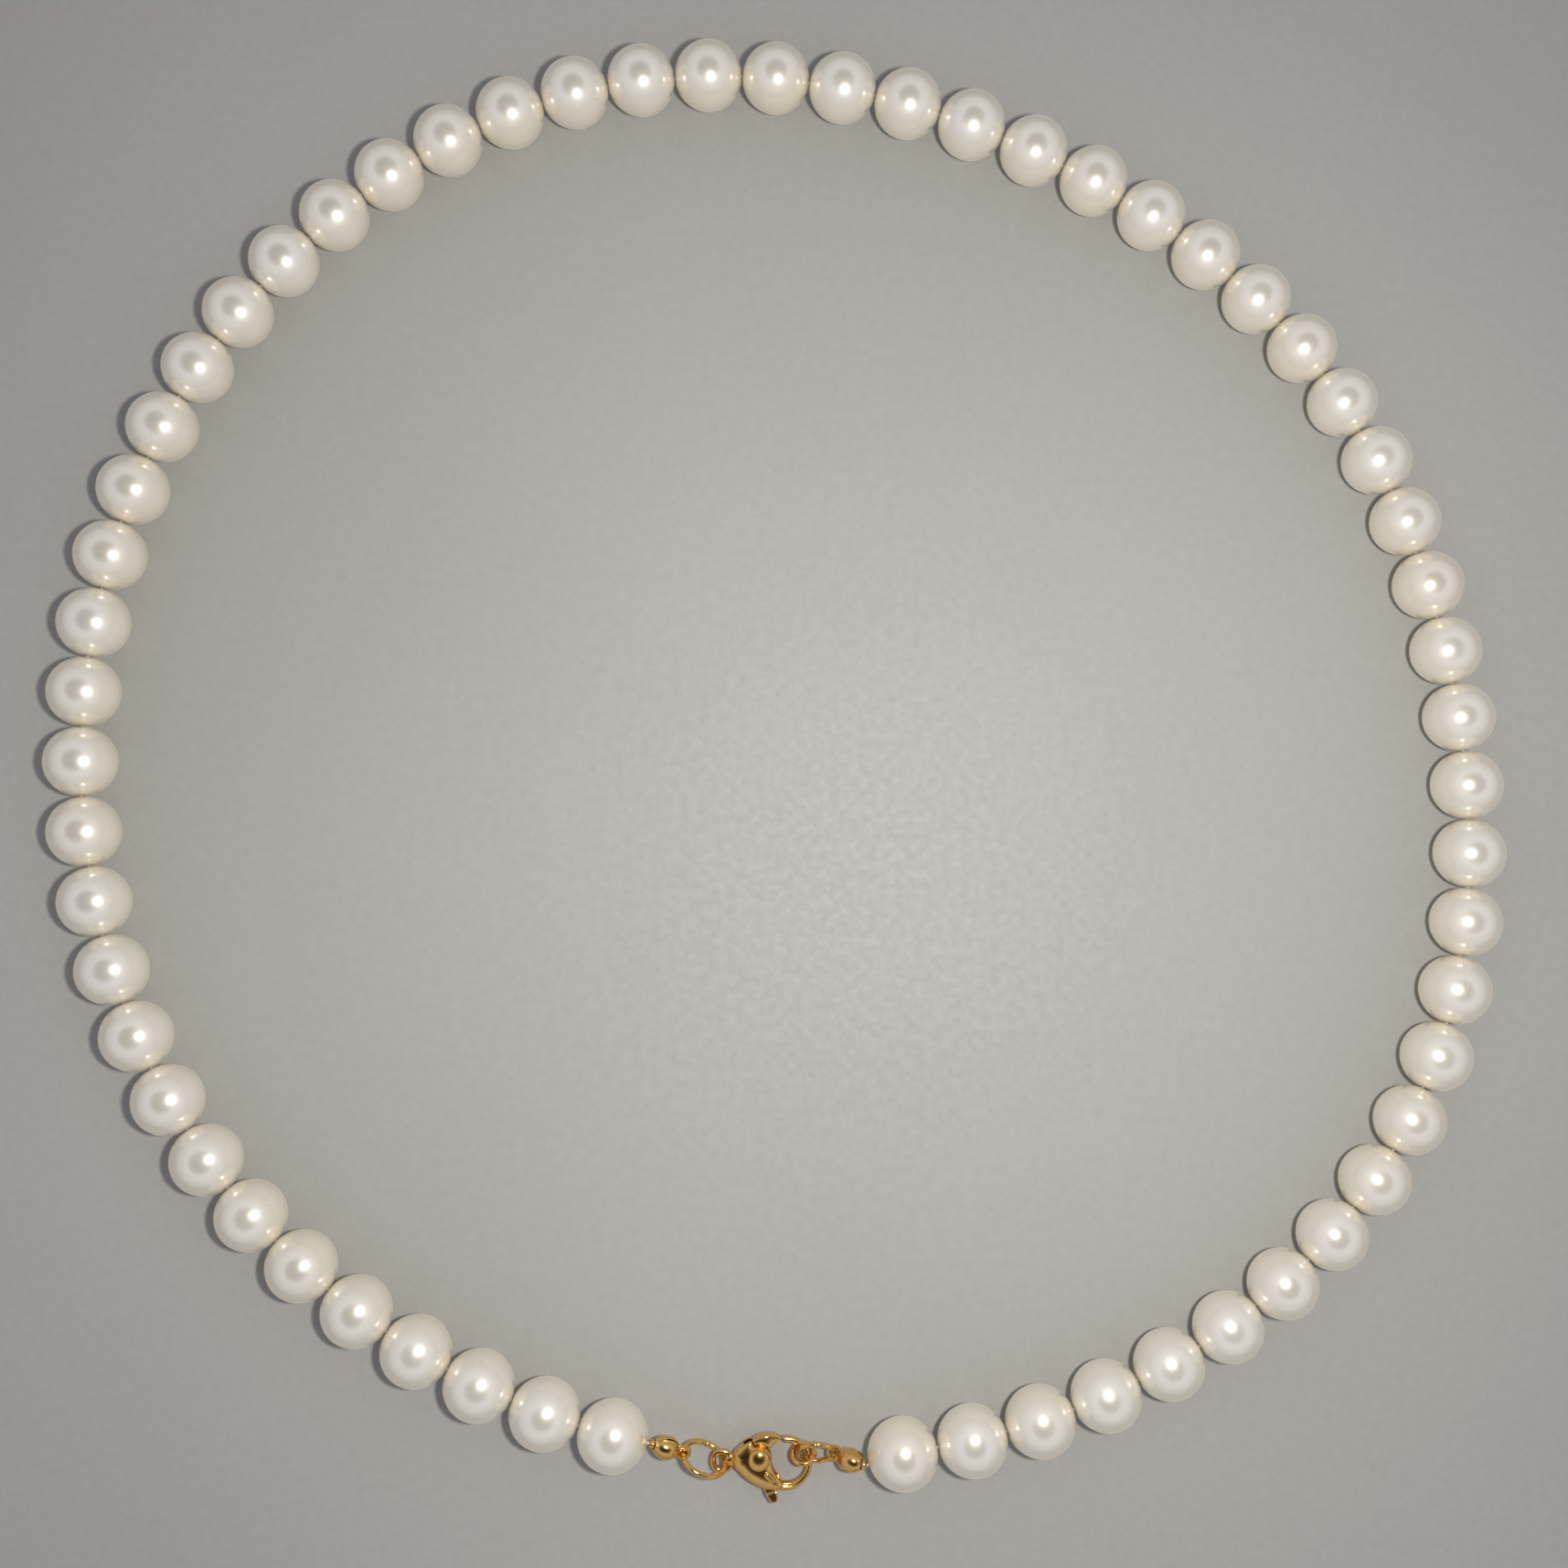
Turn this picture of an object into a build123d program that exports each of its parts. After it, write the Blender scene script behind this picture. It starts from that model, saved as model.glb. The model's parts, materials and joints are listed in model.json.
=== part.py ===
from build123d import *
from math import cos, sin, tan, pi, radians
import os

# A pearl necklace lying closed on a flat surface. Millimetres and degrees, +Z up.
# X runs along the clasp and +Y away from it. Angles round the loop are counted from +X.

# Pearls
PEARL_COUNT = 60
PEARL_RADIUS = 4.0
PEARL_GAP = 0.06
BORE_RADIUS = 0.5
BORE_EASING = 0.12
PITCH = 2 * PEARL_RADIUS + PEARL_GAP

# Lay of the strand: a circle with a few gentle waves (order, height, angle of a crest)
LOOP_RADIUS = 80.9
LAY = ((2, 2.09, -43), (3, 0.74, -25), (4, 0.36, 40), (5, 0.37, -33), (6, 0.21, -26))
FIRST_PEARL_ANGLE = -104.14

# Thread and the knots at its ends
THREAD_RADIUS = 0.2
KNOT_RADIUS = 0.6
ARC_SHARE = 0.45

# Crimp beads and clamshell bead tips
CRIMP_RADIUS = 0.5
CRIMP_BORE_RADIUS = 0.32
KINK_FROM_PEARL = 4.62
TIP_RADIUS = 1.4
TIP_WALL = 0.22
TIP_HOLE_RADIUS = 0.36
TIP_SEAM = 0.1
TIP_HINGE_LENGTH = 0.8
HOOK_RADIUS = 0.72
HOOK_WIRE_RADIUS = 0.22
HOOK_REACH = 0.56
HOOK_PLAY = 0.08
LEFT_EXIT = Vector(0.972, -0.225, -0.06).normalized()
RIGHT_EXIT = Vector(-0.957, -0.29, -0.05).normalized()

# Rings: half length and half width of the wire's middle line, wire radius, centre, and turns
# about Z, Y and X
RING_SLIT = 0.04
LEFT_RING = (2.5, 2.2, 0.32, (-9.08, -80.24, 2.41), (-20.94, 7.55, -62.28))
RIGHT_RING = (2.05, 2.0, 0.3, (3.7, -79.9, 1.9), (-1, -1, 45))
HOOKED_RING = (1.28, 1.28, 0.3, (2.24, -80.04, 1.69), (10.21, 4.26, -51.71))

# Lobster clasp, in its own frame: the lever's pivot is the origin, the eye is at -X, the claw
# at +X and the thumb tab at -Y
CLASP_PIVOT = (-2.85, -80.5, 1.5)
EYE_CENTRE = (-4.2, -0.3)
EYE_RADIUS = 1.02
EYE_WIRE_RADIUS = 0.34
SLOT_HALF_HEIGHT = 0.55
CHEEK_TOP = 0.95
CHEEK_ARC_RADIUS = 1.5
GATE_START = 112
CLAW_CENTRE = (3.2, -0.55)
CLAW_RADIUS = 2.6
CLAW_WIRE_RADIUS = 0.38
CLAW_ROOT_WIRE_RADIUS = 0.5
CLAW_ROOT_ANGLE = -110
CLAW_THICK_END = -72
CLAW_TIP_ANGLE = 102
CLAW_TIP_FROM_PIVOT = 3.52
BOSS_CENTRE = (1.2, -1.85)
BOSS_RADIUS = 0.5
BOSS_HEIGHT = 0.22

# Gate lever, rivet and spring
LEVER_HALF_HEIGHT = 0.5
HUB_RADIUS = 1.25
LEVER_BORE_RADIUS = 0.45
GATE_HALF_HEIGHT = 0.8
GATE_INNER_RADIUS = 1.58
GATE_TIP_RADIUS = 3.43
GATE_TIP_FROM = 33
GATE_TIP_TO = 49
TAB_ANGLE = -69
TAB_HALF_WIDTH = 0.5
TAB_PAD_FROM_PIVOT = 4.7
TAB_PAD_RADIUS = 0.6
TAB_PAD_HALF_HEIGHT = 0.7
RIVET_RADIUS = 0.4
RIVET_FIT = 0.01
RIVET_HEAD_RADIUS = 1.25
RIVET_HEAD_HEIGHT = 0.55
SPRING_CENTRE = (-0.3, -0.62)
SPRING_RADIUS = 1.5
SPRING_FROM = 196
SPRING_TO = 289
SPRING_THICKNESS = 0.12
SPRING_HALF_WIDTH = 0.4


def polar(radius, angle):
    """The point at a radius and an angle from the origin."""
    return (radius * cos(radians(angle)), radius * sin(radians(angle)))


def lay_radius(angle):
    """How far the strand lies from the middle of the loop at an angle."""
    waves = (height * cos(radians(order * (angle - crest))) for order, height, crest in LAY)
    return LOOP_RADIUS + sum(waves)


def pearl_centres():
    """The centres of the pearls, one pitch apart, clockwise from the left end."""
    angle = FIRST_PEARL_ANGLE
    centres = [Vector(*polar(lay_radius(angle), angle), PEARL_RADIUS)]
    while len(centres) < PEARL_COUNT:
        step = 5.0
        for _ in range(8):
            ahead = Vector(*polar(lay_radius(angle - step), angle - step), PEARL_RADIUS)
            step *= PITCH / (ahead - centres[-1]).length
        angle -= step
        centres.append(ahead)
    return centres


def bore_directions(centres):
    """The way each pearl's bore points: along the strand, from the pearl before to the one after."""
    before = [centres[0] + LEFT_EXIT * PITCH] + centres[:-1]
    after = centres[1:] + [centres[-1] + RIGHT_EXIT * PITCH]
    return [(b - a).normalized() for a, b in zip(before, after)]


def pearl(centre, direction):
    """One drilled pearl with eased bore mouths."""
    bore = Cylinder(BORE_RADIUS, 3 * PEARL_RADIUS)
    drilled = Sphere(PEARL_RADIUS) - bore
    mouth_height = (PEARL_RADIUS**2 - BORE_RADIUS**2) ** 0.5
    mouth = Cone(BORE_RADIUS, BORE_RADIUS + 2 * BORE_EASING, 2 * BORE_EASING)
    drilled -= Pos(0, 0, mouth_height) * mouth
    drilled -= Rot(180, 0, 0) * Pos(0, 0, mouth_height) * mouth
    return Plane(origin=centre, z_dir=direction) * drilled


def ring_frame(ring):
    """The location of a ring from its centre and its turns."""
    centre, (yaw, pitch, roll) = ring[3:]
    return Pos(*centre) * Rot(0, 0, yaw) * Rot(0, pitch, 0) * Rot(roll, 0, 0)


def wire_ring(ring):
    """A ring of round wire with a fine slit where its ends meet."""
    half_length, half_width, wire = ring[:3]
    straight = half_length - half_width
    if straight > 0:
        right = RadiusArc((straight, -half_width), (straight, half_width), -half_width)
        top = Line((straight, half_width), (-straight, half_width))
        left = RadiusArc((-straight, half_width), (-straight, -half_width), -half_width)
        bottom = Line((-straight, -half_width), (straight, -half_width))
        path = Wire([right, top, left, bottom])
        shape = sweep(Plane(path @ 0, z_dir=path % 0) * Circle(wire), path=path)
    else:
        shape = Torus(half_width, wire)
    slit = Pos(0, half_width, 0) * Box(RING_SLIT, 3 * wire, 3 * wire)
    return ring_frame(ring) * (shape - slit)


def ring_end(ring, side):
    """The middle of the wire at the end of a ring, and the way that the wire runs there."""
    frame = ring_frame(ring)
    end = (frame * Pos(side * ring[0], 0, 0)).position
    along = (frame * Pos(side * ring[0], 1, 0)).position - end
    return end, along


def strand_end(pearl_centre, leaving, ring, side):
    """What lies between an end pearl and its ring: the kink in the thread, the crimp bead's centre
    and direction, and the bead tip's frame and half length. side is the end of the ring that the
    hook holds."""
    kink = pearl_centre + leaving * KINK_FROM_PEARL
    wire_end, along = ring_end(ring, side)
    axis = (wire_end - kink).normalized()
    hook = wire_end - axis * HOOK_PLAY
    crimp_way = (leaving + axis).normalized()
    inward = (axis - leaving).normalized()
    half_length = ((hook - kink).length - CRIMP_RADIUS - HOOK_REACH) / 2
    half_turn = radians(leaving.get_angle(axis)) / 2
    crimp = kink + inward * (ARC_SHARE * (CRIMP_RADIUS + half_length) * tan(half_turn / 2))
    middle = kink + axis * (CRIMP_RADIUS + half_length)
    across = (along - axis * along.dot(axis)).normalized()
    frame = Plane(origin=middle, x_dir=axis, z_dir=axis.cross(across))
    return {"kink": kink, "crimp": crimp, "crimp_way": crimp_way, "tip": frame, "half": half_length}


def crimp_bead(end):
    """A small round bead on the thread between the end pearl and the bead tip."""
    bead = Sphere(CRIMP_RADIUS) - Cylinder(CRIMP_BORE_RADIUS, 3 * CRIMP_RADIUS)
    return Plane(origin=end["crimp"], z_dir=end["crimp_way"]) * bead


def bead_tip(end):
    """A hollow clamshell with a seam, a thread hole at its hinge and a hook loop at its mouth."""
    half = end["half"]
    wall = Ellipse(half, TIP_RADIUS) - Ellipse(half - TIP_WALL, TIP_RADIUS - TIP_WALL)
    upper = wall & Pos(0, TIP_RADIUS, 0) * Rectangle(4 * half, 2 * TIP_RADIUS)
    shell = revolve(upper, Axis.X)
    hole = Pos(-half, 0, 0) * Rot(0, 90, 0) * Cylinder(TIP_HOLE_RADIUS, 2 * TIP_WALL + 1)
    seam_length = 2 * half - TIP_HINGE_LENGTH
    seam_middle = half - seam_length / 2
    seam = Pos(seam_middle, 0, 0) * Box(seam_length, TIP_SEAM, 4 * TIP_RADIUS)
    hook = Pos(half + HOOK_REACH, 0, 0) * Rot(90, 0, 0) * Torus(HOOK_RADIUS, HOOK_WIRE_RADIUS)
    return end["tip"] * (shell - hole - seam + hook)


def thread_route(centres, left, right):
    """The thread's corners, from the left knot to the right one, and the radius at each corner."""
    points = [left["tip"].origin, left["kink"]] + centres + [right["kink"], right["tip"].origin]
    radii = []
    for before, here, after in zip(points, points[1:], points[2:]):
        run = min((here - before).length, (after - here).length)
        half_turn = radians((here - before).get_angle(after - here)) / 2
        radii.append(ARC_SHARE * run / tan(half_turn))
    return points, radii


def stringing_thread(centres, left, right):
    """One thread through everything on the strand, tied in a knot inside each bead tip."""
    points, radii = thread_route(centres, left, right)
    path = FilletPolyline(*points, radius=radii)
    thread = sweep(Plane(path @ 0, z_dir=path % 0) * Circle(THREAD_RADIUS), path=path)
    print("thread length", round(path.length, 2), "radii", round(min(radii), 2), round(max(radii), 1))
    print("thread volume ratio", round(thread.volume / (pi * THREAD_RADIUS**2 * path.length), 4))
    knots = [Pos(*end["tip"].origin) * Sphere(KNOT_RADIUS) for end in (left, right)]
    return thread + knots


def cheek_outline():
    """The outline of the clasp's two cheeks, without the claw."""
    heel_top, heel_bottom = (-2.9, 0.62), (-2.9, -0.68)
    shoulder = polar(2.26, GATE_START)
    arc_start = polar(CHEEK_ARC_RADIUS, GATE_START)
    arc_end = polar(CHEEK_ARC_RADIUS, -15)
    waist, root_top, root_bottom, belly = (1.5, -1.6), (2.4, -2.5), (2.4, -3.4), (0.1, -3.15)
    edges = [
        ThreePointArc(heel_top, (-2.0, 1.45), shoulder),
        Line(shoulder, arc_start),
        ThreePointArc(arc_start, polar(CHEEK_ARC_RADIUS, 45), arc_end),
        Line(arc_end, waist),
        Line(waist, root_top),
        Line(root_top, root_bottom),
        ThreePointArc(root_bottom, (1.2, -3.5), belly),
        ThreePointArc(belly, (-1.6, -2.3), heel_bottom),
        Line(heel_bottom, heel_top),
    ]
    return make_face(edges)


def arc_of_wire(start, end, wire):
    """A stretch of the claw, as round wire bent on the claw's circle."""
    section = Pos(CLAW_RADIUS, 0, 0) * Rot(90, 0, 0) * Circle(wire)
    return Pos(*CLAW_CENTRE, 0) * Rot(0, 0, start) * revolve(section, Axis.Z, end - start)


def clasp_body():
    """Eye, neck, two cheeks joined at the heel and at the claw's root, and the claw."""
    outline = cheek_outline()
    slab = extrude(outline, CHEEK_TOP, both=True)
    heel = Pos(-2.4, 0, 0) * Box(1.3, 8, 2 * CHEEK_TOP)
    root = Pos(2.6, -2.95, 0) * Box(1.1, 1.2, 2 * CHEEK_TOP)
    slot = Box(20, 20, 2 * SLOT_HALF_HEIGHT) - heel - root
    body = slab - slot
    body += Pos(-2.98, -0.05, 0) * Rot(0, 90, 0) * Cylinder(0.5, 0.7)
    body += Pos(*EYE_CENTRE, 0) * Torus(EYE_RADIUS, EYE_WIRE_RADIUS)
    claw = arc_of_wire(CLAW_ROOT_ANGLE, CLAW_TIP_ANGLE, CLAW_WIRE_RADIUS)
    claw += arc_of_wire(CLAW_ROOT_ANGLE, CLAW_THICK_END, CLAW_ROOT_WIRE_RADIUS)
    body += claw - Cylinder(CLAW_TIP_FROM_PIVOT, 4)
    cap_radius = (BOSS_RADIUS**2 + BOSS_HEIGHT**2) / (2 * BOSS_HEIGHT)
    cap = Pos(0, 0, BOSS_HEIGHT - cap_radius) * Sphere(cap_radius) & Pos(0, 0, 0.5) * Box(3, 3, 1)
    boss = Pos(*BOSS_CENTRE, CHEEK_TOP) * cap
    body += boss
    body -= Cylinder(RIVET_RADIUS + RIVET_FIT, 4)
    return Pos(*CLASP_PIVOT) * body


def gate_outline():
    """The thick part of the lever's gate, outside the cheeks."""
    inner_start = polar(GATE_INNER_RADIUS, GATE_START - 2)
    outer_start = polar(2.24, GATE_START - 2)
    tip_top = polar(GATE_TIP_RADIUS, GATE_TIP_TO)
    tip_bottom = polar(GATE_TIP_RADIUS, GATE_TIP_FROM)
    inner_end = polar(GATE_INNER_RADIUS, 40)
    edges = [
        Line(inner_start, outer_start),
        ThreePointArc(outer_start, (0.75, 2.74), tip_top),
        ThreePointArc(tip_top, polar(GATE_TIP_RADIUS, 41), tip_bottom),
        ThreePointArc(tip_bottom, (2.0, 1.62), inner_end),
        ThreePointArc(inner_end, polar(GATE_INNER_RADIUS, 75), inner_start),
    ]
    return make_face(edges)


def gate_lever():
    """Hub, gate and thumb tab in one piece, turning on the rivet between the cheeks."""
    thin = 2 * LEVER_HALF_HEIGHT
    gate_middle = 75
    arm = Rot(0, 0, gate_middle) * Pos(1.0, 0, 0) * Box(2.0, 1.6, thin)
    tab_length = TAB_PAD_FROM_PIVOT
    tab = Rot(0, 0, TAB_ANGLE) * Pos(tab_length / 2, 0, 0) * Box(tab_length, 2 * TAB_HALF_WIDTH, thin)
    pad_place = Pos(*polar(TAB_PAD_FROM_PIVOT, TAB_ANGLE), 0)
    pad = pad_place * Cylinder(TAB_PAD_RADIUS, 2 * TAB_PAD_HALF_HEIGHT)
    lever = Cylinder(HUB_RADIUS, thin) + arm + tab + pad
    lever += extrude(gate_outline(), GATE_HALF_HEIGHT, both=True)
    lever -= Cylinder(LEVER_BORE_RADIUS, 4)
    return Pos(*CLASP_PIVOT) * lever


def pivot_rivet():
    """A pin through both cheeks and the lever, with a domed head at each end."""
    ball = (RIVET_HEAD_RADIUS**2 + RIVET_HEAD_HEIGHT**2) / (2 * RIVET_HEAD_HEIGHT)
    dome = Pos(0, 0, RIVET_HEAD_HEIGHT - ball) * Sphere(ball) & Pos(0, 0, 1) * Box(4, 4, 2)
    top = Pos(0, 0, CHEEK_TOP) * dome
    rivet = Cylinder(RIVET_RADIUS, 2 * CHEEK_TOP) + top + Rot(180, 0, 0) * top
    return Pos(*CLASP_PIVOT) * rivet


def leaf_spring():
    """A bent strip between the heel and the lever's tab arm, which keeps the gate shut."""
    section = Pos(SPRING_RADIUS, 0, 0) * Rot(90, 0, 0)
    section *= Rectangle(SPRING_THICKNESS, 2 * SPRING_HALF_WIDTH)
    strip = revolve(section, Axis.Z, SPRING_TO - SPRING_FROM)
    return Pos(*CLASP_PIVOT) * Pos(*SPRING_CENTRE, 0) * Rot(0, 0, SPRING_FROM) * strip


def pieces():
    """Every piece of the necklace by its node's name, in the loop's own frame."""
    centres = pearl_centres()
    bores = bore_directions(centres)
    left = strand_end(centres[0], LEFT_EXIT, LEFT_RING, -1)
    right = strand_end(centres[-1], RIGHT_EXIT, RIGHT_RING, 1)
    shapes = {}
    for first in range(0, PEARL_COUNT, 2):
        pair = [pearl(centres[i], bores[i]) for i in (first, first + 1)]
        shapes[f"pearls_{first + 1:02d}_{first + 2:02d}"] = Compound(pair)
    shapes["stringing_thread"] = stringing_thread(centres, left, right)
    shapes["left_crimp_bead"] = crimp_bead(left)
    shapes["right_crimp_bead"] = crimp_bead(right)
    shapes["left_bead_tip"] = bead_tip(left)
    shapes["right_bead_tip"] = bead_tip(right)
    shapes["left_jump_ring"] = wire_ring(LEFT_RING)
    shapes["right_jump_ring"] = wire_ring(RIGHT_RING)
    shapes["clasp_ring"] = wire_ring(HOOKED_RING)
    shapes["clasp_body"] = clasp_body()
    shapes["clasp_gate_lever"] = gate_lever()
    shapes["clasp_pivot_rivet"] = pivot_rivet()
    shapes["clasp_leaf_spring"] = leaf_spring()
    return shapes


def to_bottom_centre(shapes):
    """The move that puts the middle of the whole object's footprint at the origin, standing on Z 0."""
    boxes = [shape.bounding_box() for shape in shapes.values()]
    low = [min(getattr(box.min, axis) for box in boxes) for axis in "XYZ"]
    high = [max(getattr(box.max, axis) for box in boxes) for axis in "XYZ"]
    return Pos(-(low[0] + high[0]) / 2, -(low[1] + high[1]) / 2, -low[2])


def main():
    os.makedirs("parts", exist_ok=True)
    shapes = pieces()
    move = to_bottom_centre(shapes)
    for name, shape in shapes.items():
        export_step(move * shape, f"parts/{name}.step")


if __name__ == "__main__":
    main()
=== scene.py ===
import json
from math import cos, sin, pi, radians

import bpy
import numpy as np
from bpy.props import FloatProperty, FloatVectorProperty, PointerProperty
from mathutils import Matrix, Vector


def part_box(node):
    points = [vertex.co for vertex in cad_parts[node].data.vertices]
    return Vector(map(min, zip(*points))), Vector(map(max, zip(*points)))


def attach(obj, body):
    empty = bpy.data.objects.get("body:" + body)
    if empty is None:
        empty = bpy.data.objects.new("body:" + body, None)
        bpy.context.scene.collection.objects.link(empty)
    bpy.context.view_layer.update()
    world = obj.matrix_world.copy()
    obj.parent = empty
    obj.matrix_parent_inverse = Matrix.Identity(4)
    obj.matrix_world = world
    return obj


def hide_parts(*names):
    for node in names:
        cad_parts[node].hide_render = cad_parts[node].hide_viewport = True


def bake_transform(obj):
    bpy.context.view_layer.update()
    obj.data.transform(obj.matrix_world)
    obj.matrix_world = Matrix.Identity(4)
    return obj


bl_info = {
    "name": "Pearl Necklace",
    "version": (1, 0, 0),
    "blender": (4, 5, 0),
    "location": "3D View > Sidebar > Necklace",
    "description": "Builds a clasped pearl necklace around its frame, with a table, lights and a camera",
    "category": "Add Mesh",
}

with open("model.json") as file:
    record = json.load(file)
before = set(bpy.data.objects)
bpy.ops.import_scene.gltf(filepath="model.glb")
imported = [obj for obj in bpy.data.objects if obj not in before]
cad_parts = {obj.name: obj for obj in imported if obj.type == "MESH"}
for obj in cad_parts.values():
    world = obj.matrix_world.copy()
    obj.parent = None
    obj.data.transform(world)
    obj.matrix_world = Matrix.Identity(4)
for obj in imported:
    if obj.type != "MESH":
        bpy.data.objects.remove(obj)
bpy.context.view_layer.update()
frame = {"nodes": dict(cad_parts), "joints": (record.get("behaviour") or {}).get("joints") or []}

MM = 0.001

# Strand
PAIRS = sorted(name for name in frame["nodes"] if name.startswith("pearls_"))
LEFT_EXIT = Vector((0.972, -0.225, -0.06)).normalized()
RIGHT_EXIT = Vector((-0.957, -0.29, -0.05)).normalized()
KINK_FROM_PEARL = 4.62 * MM
SKIN_STEPS = 44
PEARL_SEGMENTS = 72

# Thread: three plies laid into one round strand
PLIES = 3
PLY_POINTS = 5
LAY_LENGTH = 1.1 * MM
THREAD_STEP = 0.14 * MM
KNOT_SIZE = 0.15 * MM
KNOT_TUBE = 0.15 * MM

# Crimp beads and bead tips
CRIMP_RADIUS = 0.5 * MM
CRIMP_BORE = 0.32 * MM
TIP_RADIUS = 1.4
TIP_WALL = 0.22
TIP_HINGE = 0.8
TIP_HOLE = 0.54
TIP_FRONT = 0.5
TIP_BACK = 0.16
LOOP_REACH = 0.56
LOOP_RADIUS = 0.72
LOOP_PLAY = 0.08 * MM

# Rings: half length, half width and wire radius in millimetres, and turns about Z, Y and X
RINGS = {
    "left_jump_ring": (2.5, 2.2, 0.32, (-20.94, 7.55, -62.28)),
    "right_jump_ring": (2.05, 2.0, 0.3, (-1.0, -1.0, 45.0)),
    "clasp_ring": (1.28, 1.28, 0.3, (10.21, 4.26, -51.71)),
}
RING_SLIT = 0.04

# Clasp, in millimetres from the lever's pivot: the eye at -X, the claw at +X, the tab at -Y
CHEEK_POINTS = (
    (-2.85, 0.6), (-2.5, 1.0), (-1.9, 1.55), (-1.3, 1.92), (-0.86, 2.06), (-0.68, 1.78),
    (-0.5, 1.42), (0.1, 1.5), (0.75, 1.3), (1.2, 0.9), (1.46, 0.35), (1.5, -0.35),
    (1.64, -1.0), (1.98, -1.72), (2.5, -2.3), (2.75, -2.85), (2.45, -3.3), (1.9, -3.45),
    (1.1, -3.42), (0.2, -3.12), (-0.7, -2.68), (-1.5, -2.16), (-2.2, -1.45), (-2.8, -0.75),
)
CHEEK_TOP = 0.95
CROWN_TOP = 1.14
CROWN_DROP = 0.42
CROWN_RUN = 1.3
SLOT_HALF = 0.55
HEEL_EDGE = -1.75
ROOT_PLACE = (2.6, -2.95)
ROOT_HALF_LENGTH = 0.55
ROOT_EXTRA_WIDTH = 0.05
NECK_FROM = (-3.45, -0.16, 0)
NECK_TO = (-2.5, 0.0, 0)
NECK_RADIUS = 0.5
EYE_CENTRE = (-4.2, -0.3)
EYE_RADIUS = 1.02
EYE_WIRE = 0.34
EYE_SQUARENESS = 2.5
CLAW_CENTRE = (3.2, -0.55)
CLAW_RADIUS = 2.6
CLAW_FROM = -112.0
CLAW_TO = 102.0
CLAW_TIP_FROM_PIVOT = 3.52
FAR = 3.0
GROOVE_RADIUS = 2.4
GROOVE_HEIGHT = 0.6
GROOVE_DEPTH = 0.17
BOSS_FROM = (0.98, -1.6, 0.9)
BOSS_TO = (1.5, -2.16, 0.84)
BOSS_RADIUS = 0.4
RIVET_HOLE = 0.41
GATE_POINTS = (
    (-0.52, 1.52), (-0.68, 1.84), (-0.72, 2.1), (-0.3, 2.36), (0.35, 2.6), (1.1, 2.76),
    (1.8, 2.76), (2.2, 2.62), (2.5, 2.38), (2.62, 2.12), (2.5, 1.88), (2.2, 1.78),
    (1.85, 1.6), (1.5, 1.3), (1.24, 1.04), (0.95, 1.28), (0.45, 1.53), (-0.05, 1.6),
)
GATE_HALF = 0.8
LEVER_HALF = 0.5
LEVER_HUB = 1.25
LEVER_BORE = 0.45
ARM_ANGLE = 75.0
ARM_HALF_LENGTH = 1.0
ARM_HALF_WIDTH = 0.8
TAB_ANGLE = -69.0
TAB_REACH = 4.72
RIVET_HEAD = 1.28
RIVET_STEM = 0.4
SPRING_CENTRE = (-0.3, -0.62)
SPRING_RADIUS = 1.5
SPRING_FROM = 196.0
SPRING_TO = 289.0
CAST_STEP = 0.065


class PearlLook(bpy.types.PropertyGroup):
    """Sizes and colours of the pearls."""
    radius: FloatProperty(name="Radius", description="Radius of a pearl", default=4.0 * MM,
                          min=0.001, unit="LENGTH", precision=5)
    bore: FloatProperty(name="Bore", description="Radius of the drilled hole", default=0.5 * MM,
                        min=0.0002, unit="LENGTH", precision=5)
    easing: FloatProperty(name="Easing", description="Rounding at the mouth of the hole",
                          default=0.12 * MM, min=0.00002, unit="LENGTH", precision=5)
    body: FloatVectorProperty(name="Body", description="Main colour of the nacre", size=3,
                              default=(0.94, 0.86, 0.70), min=0, max=1, subtype="COLOR")
    overtone: FloatVectorProperty(name="Overtone", description="Cooler colour that drifts over it",
                                  size=3, default=(0.93, 0.87, 0.75), min=0, max=1, subtype="COLOR")
    lustre: FloatProperty(name="Lustre", description="How much the nacre mirrors like metal",
                          default=0.38, min=0, max=1, subtype="FACTOR")


class ThreadLook(bpy.types.PropertyGroup):
    """Size and colour of the stringing thread."""
    radius: FloatProperty(name="Radius", description="Radius of the thread", default=0.2 * MM,
                          min=0.00005, unit="LENGTH", precision=5)
    colour: FloatVectorProperty(name="Colour", description="Colour of the silk", size=3,
                                default=(0.86, 0.83, 0.76), min=0, max=1, subtype="COLOR")


class MetalLook(bpy.types.PropertyGroup):
    """Colours and polish of the metal pieces."""
    gold: FloatVectorProperty(name="Gold", description="Colour of the gold plating", size=3,
                              default=(0.86, 0.52, 0.16), min=0, max=1, subtype="COLOR")
    worn: FloatVectorProperty(name="Worn gold", description="Colour of the rubbed edges", size=3,
                              default=(0.90, 0.62, 0.30), min=0, max=1, subtype="COLOR")
    polish: FloatProperty(name="Roughness", description="Roughness of the polished gold",
                          default=0.13, min=0, max=1, subtype="FACTOR")
    steel: FloatVectorProperty(name="Steel", description="Colour of the spring strip", size=3,
                               default=(0.55, 0.55, 0.53), min=0, max=1, subtype="COLOR")


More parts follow.
